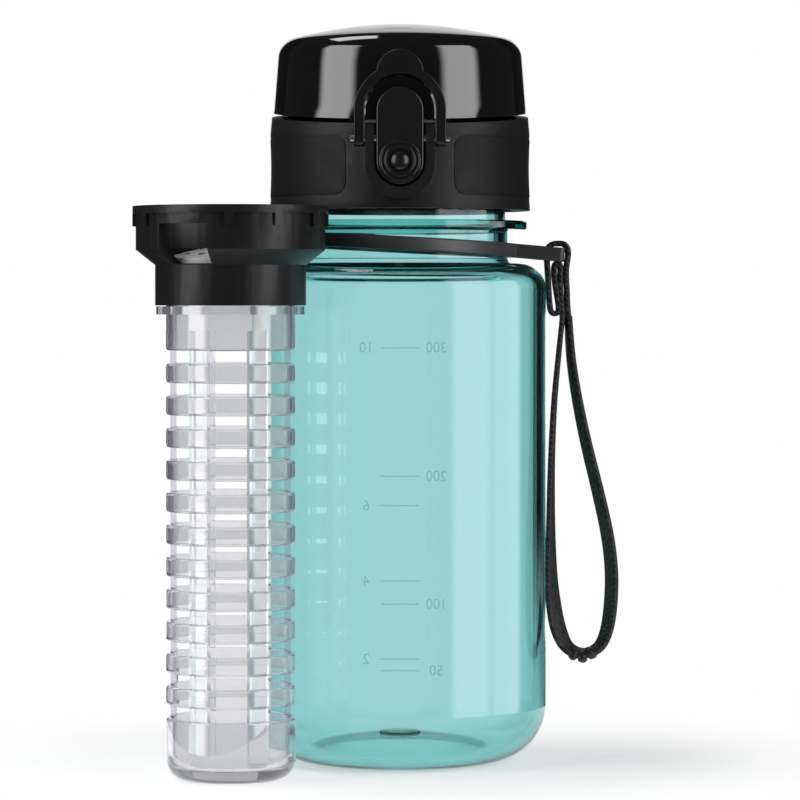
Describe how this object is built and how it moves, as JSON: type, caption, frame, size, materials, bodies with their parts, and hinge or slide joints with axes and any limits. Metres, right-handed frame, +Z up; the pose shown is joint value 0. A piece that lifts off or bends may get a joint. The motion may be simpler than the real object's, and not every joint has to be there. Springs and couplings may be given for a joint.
{
  "type": "fruit infuser water bottle",
  "caption": "Clear drinking bottle with a screw lid, flip cover and push-button latch, a strap with a lanyard, and a slotted fruit infuser standing beside it.",
  "frame": {"origin": "centre of the bottle's base, on the plane of its rest ring", "axes": "+Z up along the bottle's axis, the push button faces -Y, the strap's tongue points to +X"},
  "size_m": [0.1098, 0.0939, 0.1712],
  "materials": {
    "aqua_clear": "clear aqua copolyester, smooth",
    "black_matte": "fine spark-eroded matt",
    "grip_rubber": "soft-touch",
    "spout_plastic": "smooth, semi-gloss",
    "silicone": "translucent silicone",
    "black_gloss": "high polish",
    "steel": "drawn stainless wire",
    "button_matte": "satin",
    "bail_matte": "satin",
    "strap_rubber": "matt rubber",
    "webbing": "woven polyester tape",
    "infuser_clear": "clear copolyester, smooth",
    "infuser_black": "satin",
    "grey_plastic": "smooth"
  },
  "bodies": {
    "bottle": {"bottle_body": "aqua_clear"},
    "seal": {"neck_seal_ring": "silicone"},
    "lid": {"lid_collar": "black_matte", "drinking_spout": "spout_plastic", "vent_valve": "silicone", "grip_panel_left": "grip_rubber", "grip_panel_right": "grip_rubber", "hinge_pin": "steel", "cover_spring": "steel", "latch_spring": "steel", "latch_pin": "steel"},
    "cover": {"flip_cover": "black_gloss", "cover_seal_plug": "silicone"},
    "button": {"latch_button": "button_matte"},
    "bail": {"lock_bail": "bail_matte"},
    "strap": {"neck_strap_ring": "strap_rubber", "lanyard_hitch": "webbing", "lanyard_loop": "webbing"},
    "infuser": {"infuser_tube": "infuser_clear"},
    "infuser_lid": {"infuser_cap": "infuser_black", "infuser_strainer": "grey_plastic"}
  },
  "joints": [
    {"name": "lid_lift", "type": "slide", "parent": "bottle", "child": "seal", "axis": [0, 0, 1], "range_m": [0, 0.00501]},
    {"name": "lid_turn", "type": "hinge", "parent": "seal", "child": "lid", "pos_m": [0, 0, 0.136], "axis": [0, 0, 1], "range_deg": [0, 450]},
    {"name": "cover_flip", "type": "hinge", "parent": "lid", "child": "cover", "pos_m": [0, 0.0314, 0.1512], "axis": [-1, 0, 0], "range_deg": [0, 140]},
    {"name": "button_press", "type": "hinge", "parent": "lid", "child": "button", "pos_m": [0, -0.0314, 0.1435], "axis": [1, 0, 0], "range_deg": [0, 7], "stiffness_Nm_per_rad": 0.02, "springref_deg": -2.86, "deforming": ["latch_spring"]},
    {"name": "bail_flip", "type": "hinge", "parent": "lid", "child": "bail", "pos_m": [0, -0.0314, 0.1435], "axis": [1, 0, 0], "range_deg": [0, 170]},
    {"name": "strap_turn", "type": "hinge", "parent": "bottle", "child": "strap", "pos_m": [0, 0, 0.1201], "axis": [0, 0, 1], "range_deg": [-90, 180]},
    {"name": "infuser_shift", "type": "slide", "parent": "bottle", "child": "infuser", "axis": [0, -1, 0], "range_m": [0, 0.06]},
    {"name": "infuser_cap_pull", "type": "slide", "parent": "infuser", "child": "infuser_lid", "axis": [0, 0, 1], "range_m": [0, 0.014]}
  ],
  "couplings": [
    {"joint": "lid_lift", "follows": "lid_turn", "m_per_rad": 0.00063662}
  ]
}
